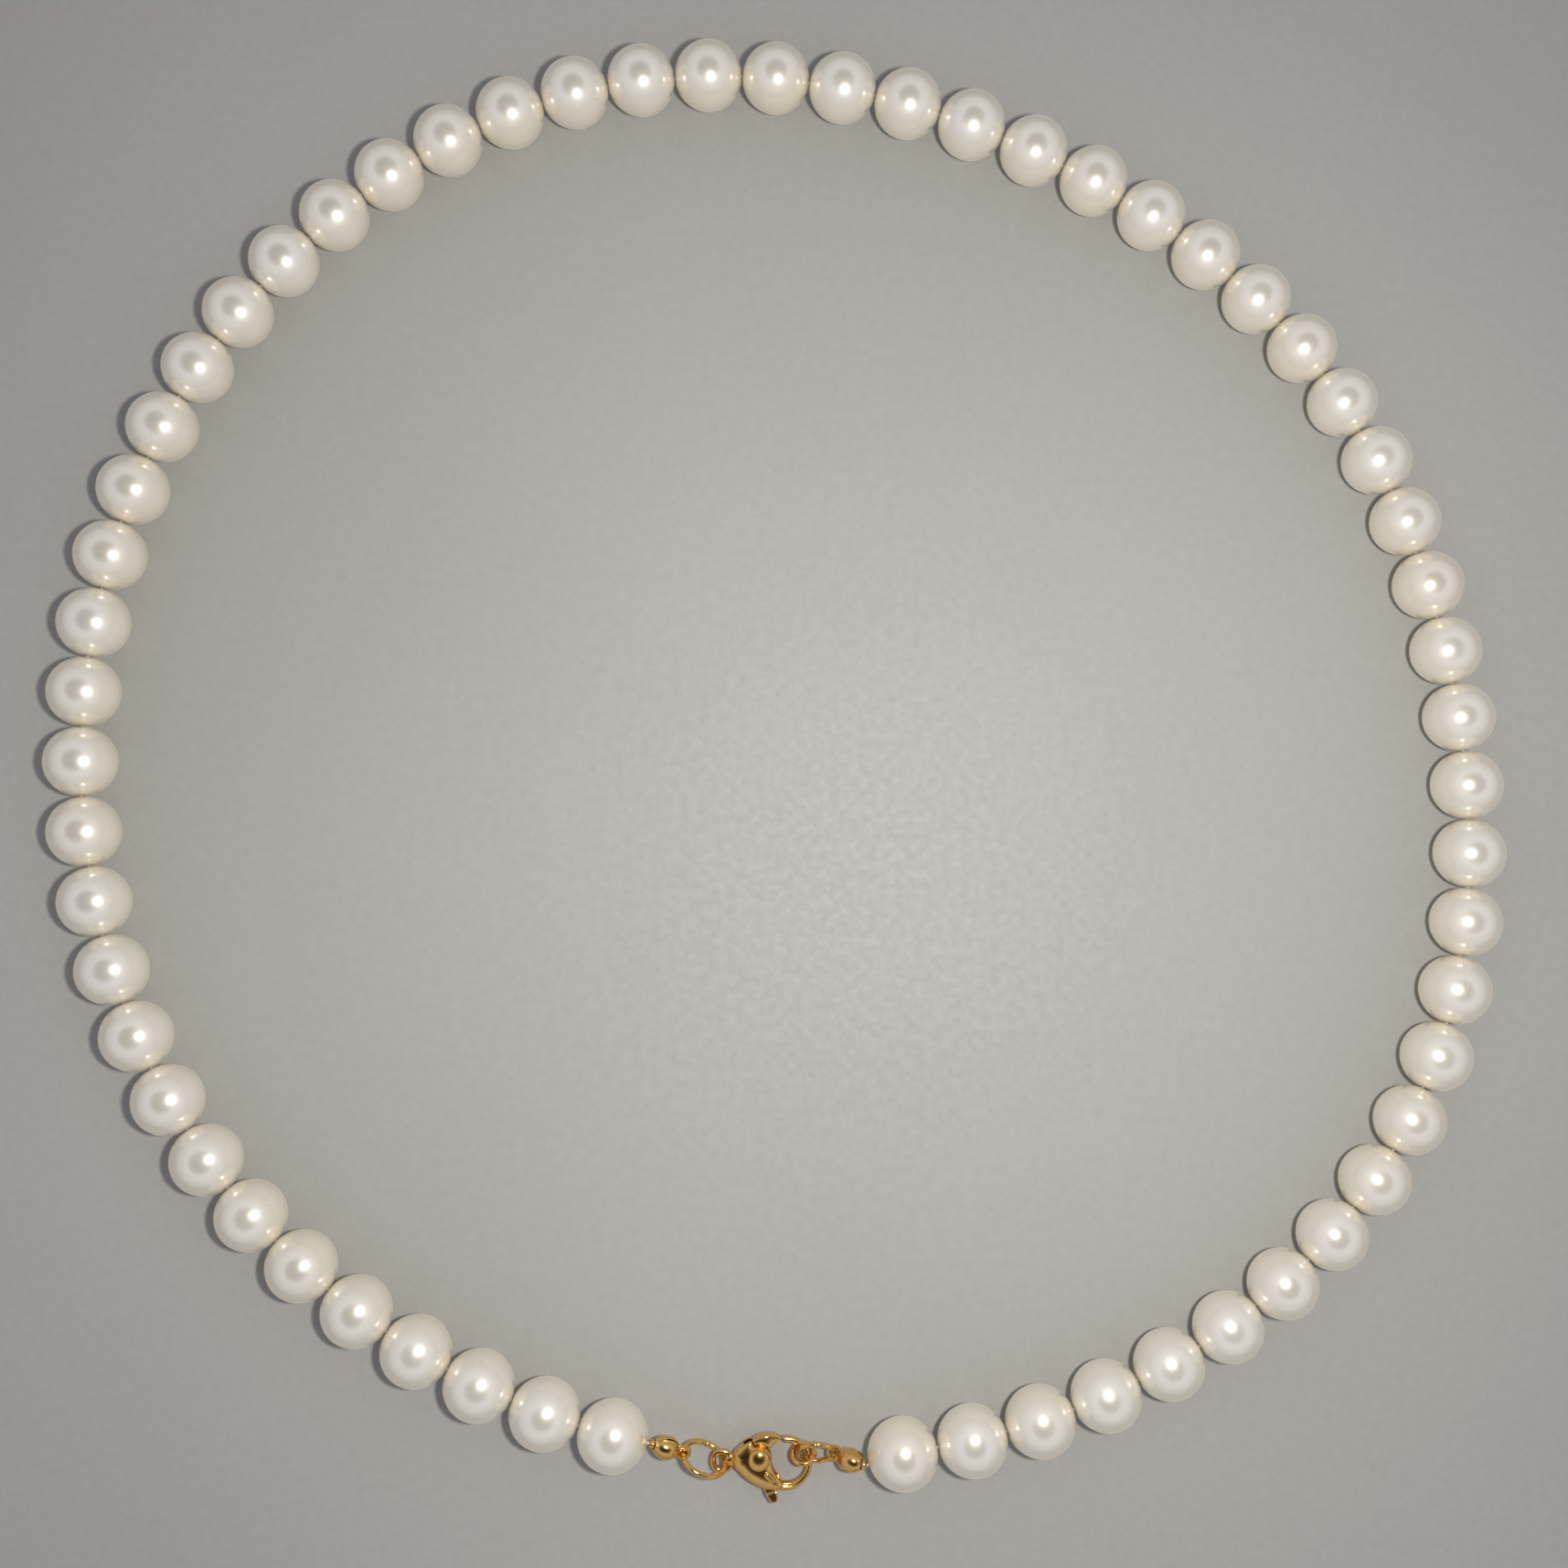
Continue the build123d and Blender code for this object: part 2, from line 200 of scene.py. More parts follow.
class StudioLook(bpy.types.PropertyGroup):
    """The table, the lights and the camera."""
    table: FloatVectorProperty(name="Table", description="Colour of the table", size=3,
                               default=(0.43, 0.42, 0.38), min=0, max=1, subtype="COLOR")
    room: FloatProperty(name="Room", description="Strength of the light from all round",
                        default=0.5, min=0)
    key: FloatProperty(name="Key", description="Power of the small light beside the camera",
                       default=0.24, min=0, unit="POWER")
    camera_place: FloatVectorProperty(name="Camera", description="Where the camera stands", size=3,
                                      default=(-5.96 * MM, -14.27 * MM, 178.94 * MM),
                                      subtype="TRANSLATION", unit="LENGTH", precision=5)
    camera_turn: FloatVectorProperty(name="Camera turn", description="How the camera is turned",
                                     size=3, subtype="EULER", unit="ROTATION",
                                     default=(radians(3.582), radians(-1.940), 0.0))
    lens: FloatProperty(name="Lens", description="Focal length in millimetres", default=34.64,
                        min=1)


# Meshes

def link_mesh(name, points, faces, material, flat_faces=0):
    """A smooth-shaded object from points in metres. The last flat_faces faces stay flat."""
    mesh = bpy.data.meshes.new(name)
    mesh.from_pydata([tuple(p) for p in points], [], [tuple(f) for f in faces])
    smooth = np.ones(len(faces), bool)
    if flat_faces:
        smooth[-flat_faces:] = False
    mesh.polygons.foreach_set("use_smooth", smooth)
    mesh.validate()
    mesh.update()
    mesh.materials.append(material)
    piece = bpy.data.objects.new(name, mesh)
    bpy.context.scene.collection.objects.link(piece)
    return piece


def turned(profile, segments):
    """Points and faces of a shape turned about Z from (radius, height) pairs. A profile that
    starts and ends on the axis is closed by its poles, and any other closes on itself."""
    poles = profile[0][0] == 0
    angles = np.linspace(0, 2 * pi, segments, endpoint=False)
    inner = profile[1:-1] if poles else profile
    points = [(r * cos(a), r * sin(a), z) for r, z in inner for a in angles]
    rows = len(inner)
    faces = []
    for row in range(rows - 1 if poles else rows):
        here, there = row * segments, (row + 1) % rows * segments
        for k in range(segments):
            after = (k + 1) % segments
            faces.append((here + k, there + k, there + after, here + after))
    if poles:
        points += [(0, 0, profile[0][1]), (0, 0, profile[-1][1])]
        first, last = len(points) - 2, len(points) - 1
        end = (rows - 1) * segments
        for k in range(segments):
            after = (k + 1) % segments
            faces.append((first, k, after))
            faces.append((last, end + after, end + k))
    return points, faces


def frames_along(path, start):
    """Unit ways along a path, and two more across it that turn as little as they can."""
    path = np.asarray(path, float)
    ways = np.gradient(path, axis=0)
    ways /= np.linalg.norm(ways, axis=1)[:, None]
    across = [np.asarray(start, float)]
    for way in ways:
        side = across[-1] - way * (across[-1] @ way)
        across.append(side / np.linalg.norm(side))
    across = np.array(across[1:])
    return across, np.cross(ways, across)


def skinned(path, sections, start=(0, 0, 1)):
    """Points and faces of a tube: each section's (across, up) pairs stand at a point of the path."""
    across, up = frames_along(path, start)
    sections = np.asarray(sections, float)
    rows, around = sections.shape[:2]
    points = (np.asarray(path)[:, None] + sections[:, :, :1] * across[:, None]
              + sections[:, :, 1:] * up[:, None]).reshape(-1, 3)
    faces = []
    for row in range(rows - 1):
        here, there = row * around, (row + 1) * around
        for k in range(around):
            after = (k + 1) % around
            faces.append((here + k, here + after, there + after, there + k))
    faces.append(tuple(range(around))[::-1])
    faces.append(tuple(range((rows - 1) * around, rows * around)))
    return points, faces


def smooth_path(corners, ways, step):
    """Points on a smooth curve through the corners, which leaves each one in its given way."""
    path = []
    for a, b, way_a, way_b in zip(corners, corners[1:], ways, ways[1:]):
        gap = (b - a).length
        for k in range(max(2, int(gap / step))):
            t = k / max(2, int(gap / step))
            path.append(a * (2 * t**3 - 3 * t**2 + 1) + way_a * gap * (t**3 - 2 * t**2 + t)
                        + b * (3 * t**2 - 2 * t**3) + way_b * gap * (t**3 - t**2))
    path.append(corners[-1])
    return [tuple(p) for p in path]


# Distance shapes: a function of x, y and z that is below nothing inside the metal. Millimetres.

def join(a, b, blend):
    """Two shapes together, with a fillet where they meet."""
    mix = np.clip(0.5 + 0.5 * (b - a) / blend, 0, 1)
    return b + (a - b) * mix - blend * mix * (1 - mix)


def cut(a, b, blend):
    """The first shape without the second, with an eased edge."""
    return -join(-a, b, blend)


def ease(low, high, value):
    """0 below low, 1 above high, and smooth between them."""
    t = np.clip((value - low) / (high - low), 0, 1)
    return t * t * (3 - 2 * t)


def closed_curve(points, per_span=6):
    """A smooth closed outline through the points."""
    p = np.array(points, float)
    before, after, later = np.roll(p, 1, 0), np.roll(p, -1, 0), np.roll(p, -2, 0)
    t = (np.arange(per_span) / per_span)[None, :, None]
    a, b, c, d = (v[:, None] for v in (before, p, after, later))
    curve = 0.5 * (2 * b + (c - a) * t + (2 * a - 5 * b + 4 * c - d) * t**2
                   + (3 * b - a - 3 * c + d) * t**3)
    return curve.reshape(-1, 2)


def outline_distance(x, y, outline):
    """Distance to an outline in the plane, below nothing inside it."""
    near, inside = None, None
    for (ax, ay), (bx, by) in zip(outline, np.roll(outline, -1, 0)):
        ex, ey = bx - ax, by - ay
        t = np.clip(((x - ax) * ex + (y - ay) * ey) / (ex * ex + ey * ey), 0, 1)
        square = (x - ax - t * ex) ** 2 + (y - ay - t * ey) ** 2
        rise = ey if abs(ey) > 1e-12 else 1e-12
        crossed = ((ay > y) != (by > y)) & (x < ex * (y - ay) / rise + ax)
        near = square if near is None else np.minimum(near, square)
        inside = crossed if inside is None else inside ^ crossed
    return np.where(inside, -1, 1) * np.sqrt(near)


def plate(flat, z, half, rounding):
    """A flat shape given a thickness and rounded edges."""
    side, top = flat + rounding, np.abs(z) - half + rounding
    outside = np.hypot(np.maximum(side, 0), np.maximum(top, 0))
    return np.minimum(np.maximum(side, top), 0) + outside - rounding


def rod(x, y, z, start, end, radius):
    """A round-ended rod between two points."""
    run = [b - a for a, b in zip(start, end)]
    off = [x - start[0], y - start[1], z - start[2]]
    along = sum(o * r for o, r in zip(off, run)) / sum(r * r for r in run)
    t = np.clip(along, 0, 1)
    return np.sqrt(sum((o - t * r) ** 2 for o, r in zip(off, run))) - radius


def cast(shape, low, high, step):
    """Points and faces of the surface where a distance shape is nothing, on a grid of that step."""
    low = np.array(low, float) - 2 * step
    counts = [int((h + 2 * step - l) / step) + 1 for l, h in zip(low, high)]
    grid = [low[i] + step * np.arange(counts[i]) for i in range(3)]
    x, y, z = np.meshgrid(*grid, indexing="ij", sparse=True)
    value = np.broadcast_to(shape(x, y, z), counts)
    solid = value < 0
    corners = [(i, j, k) for i in (0, 1) for j in (0, 1) for k in (0, 1)]
    cells = [n - 1 for n in counts]
    held = sum(solid[i:i + cells[0], j:j + cells[1], k:k + cells[2]].astype(int)
               for i, j, k in corners)
    skin = (held > 0) & (held < 8)
    number = np.full(cells, -1)
    number[skin] = np.arange(skin.sum())
    cell = np.argwhere(skin)
    total, hits = np.zeros((len(cell), 3)), np.zeros(len(cell))
    for axis in range(3):
        for corner in corners:
            if corner[axis]:
                continue
            far = list(corner)
            far[axis] = 1
            a = value[tuple((cell + corner).T)]
            b = value[tuple((cell + far).T)]
            crossed = (a < 0) != (b < 0)
            share = np.where(crossed, a / np.where(crossed, a - b, 1), 0)
            point = cell + np.array(corner, float)
            point[:, axis] += share
            total += point * crossed[:, None]
            hits += crossed
    points = low + step * total / hits[:, None]
    faces = []
    for axis in range(3):
        u, v = (axis + 1) % 3, (axis + 2) % 3
        start = [slice(None)] * 3
        end = [slice(None)] * 3
        start[axis], end[axis] = slice(0, -1), slice(1, None)
        first, second = solid[tuple(start)], solid[tuple(end)]
        edge = np.argwhere(first != second)
        around = []
        for du, dv in ((-1, -1), (0, -1), (0, 0), (-1, 0)):
            shifted = edge.copy()
            shifted[:, u] += du
            shifted[:, v] += dv
            around.append(number[tuple(shifted.T)])
        quads = np.stack(around, 1)
        inward = second[tuple(edge.T)]
        quads[inward] = quads[inward][:, ::-1]
        faces.append(quads)
    for _ in range(3):
        here = shape(*points.T)
        slope = []
        for axis in range(3):
            ahead = points.copy()
            ahead[:, axis] += 0.2 * step
            slope.append((shape(*ahead.T) - here) / (0.2 * step))
        slope = np.stack(slope, 1)
        push = np.clip(here, -0.4 * step, 0.4 * step) / np.maximum((slope**2).sum(1), 0.2)
        points -= push[:, None] * slope
    return points, np.concatenate(faces)


# Where the strand's pieces are

def pair_centres(pair, radius):
    """The centres of a pair's two pearls, from the points on their skins."""
    points = np.array([v.co for v in frame["nodes"][pair].data.vertices], float)
    middle = (points.min(0) + points.max(0)) / 2
    way = np.linalg.svd(points - points.mean(0), full_matrices=False)[2][0]
    centres = []
    for side in (-1, 1):
        half = points[side * ((points - middle) @ way) > 0]
        rough = (half.min(0) + half.max(0)) / 2
        skin = half[np.abs(np.linalg.norm(half - rough, axis=1) - radius) < radius / 40]
        ball = np.c_[2 * skin, np.ones(len(skin))]
        fitted = np.linalg.lstsq(ball, (skin**2).sum(1), rcond=None)[0]
        centres.append(Vector(fitted[:3]))
    return centres


def strand(radius):
    """The pearls' centres and bore directions in order from the left end, and their bodies."""
    low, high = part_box("left_crimp_bead")
    last, centres, bodies = (low + high) / 2, [], []
    for body in PAIRS:
        both = sorted(pair_centres(body, radius), key=lambda c: (c - last).length)
        centres += both
        bodies += [body, body]
        last = both[-1]
    pitch = (centres[1] - centres[0]).length
    before = [centres[0] + LEFT_EXIT * pitch] + centres[:-1]
    after = centres[1:] + [centres[-1] + RIGHT_EXIT * pitch]
    return centres, [(b - a).normalized() for a, b in zip(before, after)], bodies


def joint_place(child):
    """Where the joint that carries a body has its pivot."""
    joint = next(j for j in frame["joints"] if j["child"] == child)
    return Vector(joint["pos_m"])


def ring_matrix(name):
    """A ring's place and turns."""
    low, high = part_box(name)
    yaw, pitch, roll = (radians(angle) for angle in RINGS[name][3])
    turn = Matrix.Rotation(yaw, 4, "Z") @ Matrix.Rotation(pitch, 4, "Y")
    return Matrix.Translation((low + high) / 2) @ turn @ Matrix.Rotation(roll, 4, "X")


def tip_place(pearl, leaving, ring, side):
    """A bead tip's matrix, its half length in millimetres and the kink in the thread before it."""
    kink = pearl + leaving * KINK_FROM_PEARL
    place = ring_matrix(ring)
    reach = side * RINGS[ring][0] * MM
    wire = place @ Vector((reach, 0, 0))
    along = place @ Vector((reach, 1, 0)) - wire
    axis = (wire - kink).normalized()
    hook = wire - axis * LOOP_PLAY
    half = ((hook - kink).length - CRIMP_RADIUS - LOOP_REACH * MM) / 2
    middle = kink + axis * (CRIMP_RADIUS + half)
    across = (along - axis * along.dot(axis)).normalized()
    turn = Matrix((axis, across, axis.cross(across))).transposed().to_4x4()
    return Matrix.Translation(middle) @ turn, half / MM, kink


def strand_ends():
    """The two bead tips' places by side."""
    centres = strand(bpy.context.scene.necklace_pearls.radius)[0]
    return {
        "left": tip_place(centres[0], LEFT_EXIT, "left_jump_ring", -1),
        "right": tip_place(centres[-1], RIGHT_EXIT, "right_jump_ring", 1),
    }


# Finishes

def finish(name):
    """A new material, its node tree and its shader."""
    material = bpy.data.materials.new(name)
    material.use_nodes = True
    return material, material.node_tree, material.node_tree.nodes["Principled BSDF"]


def set_sockets(made, tree, values):
    """Sets or links a node's sockets."""
    for key, value in values.items():
        if isinstance(value, bpy.types.NodeSocket):
            tree.links.new(value, made.inputs[key])
        else:
            made.inputs[key].default_value = value


def node(tree, kind, inputs=(), **settings):
    """A new node with its settings, and with its sockets set or linked."""
    made = tree.nodes.new(kind)
    for key, value in settings.items():
        setattr(made, key, value)
    set_sockets(made, tree, dict(inputs))
    return made


def noise(tree, place, scale, detail=2.0, roughness=0.5):
    """A cloudy pattern's strength."""
    made = node(tree, "ShaderNodeTexNoise", {"Vector": place, "Scale": scale, "Detail": detail,
                                             "Roughness": roughness})
    return made.outputs["Fac"]


def spread(tree, value, low, high, to_low, to_high):
    """A value moved from one span to another, held at its ends."""
    inputs = {"Value": value, "From Min": low, "From Max": high, "To Min": to_low, "To Max": to_high}
    return node(tree, "ShaderNodeMapRange", inputs).outputs["Result"]


def mixed(tree, share, first, second):
    """Two colours mixed."""
    made = node(tree, "ShaderNodeMix", data_type="RGBA")
    for socket, value in ((made.inputs[0], share), (made.inputs[6], first), (made.inputs[7], second)):
        if isinstance(value, bpy.types.NodeSocket):
            tree.links.new(value, socket)
        else:
            socket.default_value = value
    return made.outputs[2]


def bump(tree, height, distance, strength, below=None):
    """A surface normal raised by a height."""
    inputs = {"Height": height, "Distance": distance, "Strength": strength}
    if below:
        inputs["Normal"] = below
    return node(tree, "ShaderNodeBump", inputs).outputs["Normal"]


def nacre(look):
    """Layered cream nacre: a cloudy body, a mirror-like lustre under a clear gloss."""
    material, tree, shader = finish("nacre")
    spot = node(tree, "ShaderNodeTexCoord").outputs["Object"]
    each = node(tree, "ShaderNodeObjectInfo").outputs["Random"]
    place = node(tree, "ShaderNodeVectorMath", {0: spot, 1: each}).outputs["Vector"]
    cloud = noise(tree, place, 190.0, 3.0)
    tone = node(tree, "ShaderNodeMath", {0: cloud, 1: each}, operation="ADD").outputs["Value"]
    share = spread(tree, tone, 0.4, 1.6, 0.0, 1.0)
    colour = mixed(tree, share, (*look.body, 1), (*look.overtone, 1))
    ripple = noise(tree, place, 420.0, 2.0)
    set_sockets(shader, tree, {
        "Base Color": colour,
        "Metallic": look.lustre,
        "Roughness": spread(tree, cloud, 0.3, 0.7, 0.26, 0.32),
        "IOR": 1.6,
        "Coat Weight": 1.0,
        "Coat Roughness": 0.12,
        "Coat IOR": 2.1,
        "Sheen Weight": 0.35,
        "Sheen Roughness": 0.35,
        "Sheen Tint": (1.0, 0.86, 0.62, 1),
        "Normal": bump(tree, ripple, 0.00001, 0.15),
    })
    return material


def gold_plating(look):
    """Polished gold plating: a little waviness from casting, hairline scratches, rubbed edges."""
    material, tree, shader = finish("gold_plating")
    place = node(tree, "ShaderNodeTexCoord").outputs["Object"]
    cloud = noise(tree, place, 700.0, 3.0)
    stretched = node(tree, "ShaderNodeMapping", {"Vector": place, "Scale": (1.0, 9.0, 9.0),
                                                 "Rotation": (0.3, 0.2, 0.7)}).outputs["Vector"]
    scratch = noise(tree, stretched, 2600.0, 4.0, 0.65)
    edge = node(tree, "ShaderNodeNewGeometry").outputs["Pointiness"]
    rubbed = spread(tree, edge, 0.52, 0.60, 0.0, 0.75)
    deep = spread(tree, cloud, 0.25, 0.75, 0.0, 0.35)
    dark = tuple(c * s for c, s in zip(look.gold, (0.86, 0.76, 0.62)))
    base = mixed(tree, deep, (*look.gold, 1), (*dark, 1))
    wavy = bump(tree, noise(tree, place, 900.0, 2.0), 0.00003, 0.25)
    set_sockets(shader, tree, {
        "Base Color": mixed(tree, rubbed, base, (*look.worn, 1)),
        "Metallic": 1.0,
        "Roughness": spread(tree, scratch, 0.3, 0.8, look.polish * 0.8, look.polish * 1.9),
        "Normal": bump(tree, scratch, 0.0000015, 0.2, wavy),
    })
    return material


def spring_steel(look):
    """Plain rolled strip with fine lines along it."""
    material, tree, shader = finish("spring_steel")
    place = node(tree, "ShaderNodeTexCoord").outputs["Object"]
    lines = node(tree, "ShaderNodeMapping", {"Vector": place, "Scale": (1.0, 1.0, 30.0)})
    rolled = noise(tree, lines.outputs["Vector"], 1200.0, 4.0, 0.7)
    shade = tuple(c * 0.75 for c in look.steel)
    set_sockets(shader, tree, {
        "Base Color": mixed(tree, rolled, (*look.steel, 1), (*shade, 1)),
        "Metallic": 1.0,
        "Roughness": spread(tree, rolled, 0.2, 0.8, 0.25, 0.45),
        "Normal": bump(tree, rolled, 0.000008, 0.4),
    })
    return material


def silk(look):
    """Twisted silk: fine fibres along each ply, soft at its edges."""
    material, tree, shader = finish("silk_thread")
    place = node(tree, "ShaderNodeTexCoord").outputs["Object"]
    fibres = noise(tree, place, 14000.0, 4.0, 0.7)
    shade = tuple(c * 0.78 for c in look.colour)
    set_sockets(shader, tree, {
        "Base Color": mixed(tree, fibres, (*look.colour, 1), (*shade, 1)),
        "Roughness": 0.7,
        "Sheen Weight": 0.5,
        "Sheen Roughness": 0.4,
        "Normal": bump(tree, fibres, 0.00001, 0.5),
    })
    return material


def table_top(look):
    """Pale grey board with a faint pebbled grain."""
    material, tree, shader = finish("table_top")
    place = node(tree, "ShaderNodeTexCoord").outputs["Object"]
    cloud = noise(tree, place, 9.0, 4.0)
    speck = noise(tree, place, 900.0, 3.0, 0.6)
    pebble = node(tree, "ShaderNodeTexVoronoi", {"Vector": place, "Scale": 420.0, "Smoothness": 1.0},
                  feature="SMOOTH_F1").outputs["Distance"]
    light = tuple(min(1.0, c * 1.05) for c in look.table)
    shade = tuple(c * 0.94 for c in look.table)
    both = node(tree, "ShaderNodeMath", {0: cloud, 1: speck}, operation="ADD").outputs["Value"]
    grain = bump(tree, pebble, 0.00008, 0.25)
    set_sockets(shader, tree, {
        "Base Color": mixed(tree, spread(tree, both, 0.7, 1.3, 0.0, 1.0), (*light, 1), (*shade, 1)),
        "Roughness": spread(tree, speck, 0.3, 0.7, 0.5, 0.62),
        "Normal": bump(tree, speck, 0.00003, 0.2, grain),
    })
    return material


def material_for(name, make, look):
    """A material by name, made the first time that it is asked for."""
    return bpy.data.materials.get(name) or make(look)


def gold():
    """The gold plating that all the gold pieces share."""
    return material_for("gold_plating", gold_plating, bpy.context.scene.necklace_metal)


def place_piece(piece, body, stands_for):
    """Makes a piece ride on its body and stand for its nodes."""
    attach(piece, body)
    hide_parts(*stands_for)


# Pieces

class NECKLACE_OT_pearls(bpy.types.Operator):
    """Strings sixty drilled pearls along the strand"""
    bl_idname = "necklace.pearls"
    bl_label = "Pearls"

    def profile(self, look):
        """Half a pearl's section: its skin from mouth to mouth, then back through the bore."""
        mouth = np.arcsin((look.bore + look.easing) / look.radius)
        skin = [(look.radius * sin(a), look.radius * cos(a))
                for a in np.linspace(mouth, pi - mouth, SKIN_STEPS)]
        height = skin[0][1]
        lip = [(look.bore + look.easing * (1 - sin(a)), height - look.easing * (1 - cos(a)))
               for a in np.linspace(0, pi / 2, 5)[1:]]
        bore = [(look.bore, h) for h in np.linspace(-lip[-1][1], lip[-1][1], 7)[1:-1]]
        return skin + [(r, -h) for r, h in lip] + bore + lip[::-1]

    def execute(self, context):
        look = context.scene.necklace_pearls
        centres, bores, bodies = strand(look.radius)
        points, faces = turned(self.profile(look), PEARL_SEGMENTS)
        material = material_for("nacre", nacre, look)
        for number, (centre, bore, body) in enumerate(zip(centres, bores, bodies), 1):
            piece = link_mesh(f"pearl_{number:02d}", points, faces, material)
            turn = bore.to_track_quat("Z", "Y").to_matrix().to_4x4()
            roll = Matrix.Rotation(number * 2.4, 4, "Z")
            piece.matrix_world = Matrix.Translation(centre) @ turn @ roll
            place_piece(piece, body, [body])
        return {"FINISHED"}


class NECKLACE_OT_thread(bpy.types.Operator):
    """Runs the twisted thread through the pearls and knots it inside the bead tips"""
    bl_idname = "necklace.thread"
    bl_label = "Stringing Thread"

    def rope(self, corners, ways, radius):
        """A three-ply strand along a smooth curve."""
        path = smooth_path(corners, ways, THREAD_STEP)
        around = PLIES * PLY_POINTS
        sections = []
        for row in range(len(path)):
            twist = 2 * pi * row * THREAD_STEP / LAY_LENGTH
            angles = 2 * pi * np.arange(around) / around
            swell = radius * (0.86 + 0.14 * np.cos(PLIES * angles))
            sections.append(np.c_[swell * np.cos(angles + twist), swell * np.sin(angles + twist)])
        return skinned(path, sections)

    def knot(self, middle):
        """A small overhand knot, pulled tight."""
        turns = np.linspace(0, 2 * pi, 90)
        path = np.stack([np.sin(turns) + 2 * np.sin(2 * turns),
                         np.cos(turns) - 2 * np.cos(2 * turns), -1.4 * np.sin(3 * turns)], 1)
        ring = [(KNOT_TUBE * cos(a), KNOT_TUBE * sin(a)) for a in np.linspace(0, 2 * pi, 12, False)]
        points, faces = skinned(path * KNOT_SIZE, [ring] * len(path), (0, 0, 1))
        return points + np.array(middle), faces

    def execute(self, context):
        radius = context.scene.necklace_thread.radius
        centres, bores, bodies = strand(context.scene.necklace_pearls.radius)
        material = material_for("silk_thread", silk, context.scene.necklace_thread)
        ends = strand_ends()
        pivots = [joint_place("left_bead_tip")]
        for first in range(2, len(centres), 2):
            pivots.append((centres[first - 1] + centres[first]) / 2)
        pivots.append(joint_place("right_bead_tip"))
        runs = [-LEFT_EXIT]
        for first in range(2, len(centres), 2):
            runs.append((centres[first] - centres[first - 1]).normalized())
        runs.append(RIGHT_EXIT)
        for k, body in enumerate(PAIRS):
            corners = [pivots[k], centres[2 * k], centres[2 * k + 1], pivots[k + 1]]
            ways = [runs[k], bores[2 * k], bores[2 * k + 1], runs[k + 1]]
            points, faces = self.rope(corners, ways, radius)
            piece = link_mesh(f"thread_{k + 1:02d}", points, faces, material, 2)
            place_piece(piece, body, ["stringing_thread"])
        for side, pivot, leaving in (("left", pivots[0], LEFT_EXIT), ("right", pivots[-1], RIGHT_EXIT)):
            matrix, half, kink = ends[side]
            middle = matrix.translation
            inward = (middle - kink).normalized()
            points, faces = self.rope([pivot, kink, middle], [leaving, (leaving + inward) / 2, inward],
                                      radius)
            knot_points, knot_faces = self.knot(middle)
            offset = len(points)
            knot_faces = [tuple(i + offset for i in face) for face in knot_faces]
            piece = link_mesh(f"thread_{side}_end", np.concatenate([points, knot_points]),
                              list(faces) + knot_faces, material)
            place_piece(piece, f"{side}_bead_tip", ["stringing_thread"])
        return {"FINISHED"}


class NECKLACE_OT_crimp_beads(bpy.types.Operator):
    """Turns the two small beads beside the end pearls"""
    bl_idname = "necklace.crimp_beads"
    bl_label = "Crimp Beads"

    def execute(self, context):
        start = np.arcsin((CRIMP_BORE + 0.04 * MM) / CRIMP_RADIUS)
        profile = [(CRIMP_RADIUS * sin(a), CRIMP_RADIUS * cos(a))
                   for a in np.linspace(start, pi - start, 20)]
        height = profile[0][1] - 0.03 * MM
        profile += [(CRIMP_BORE, h) for h in np.linspace(-height, height, 4)]
        points, faces = turned(profile, 40)
        for side, leaving in (("left", LEFT_EXIT), ("right", RIGHT_EXIT)):
            low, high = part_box(f"{side}_crimp_bead")
            piece = link_mesh(f"{side}_crimp", points, faces, gold())
            turn = leaving.to_track_quat("Z", "Y").to_matrix().to_4x4()
            piece.matrix_world = Matrix.Translation((low + high) / 2) @ turn
            place_piece(piece, f"{side}_bead_tip", [f"{side}_crimp_bead"])
        return {"FINISHED"}


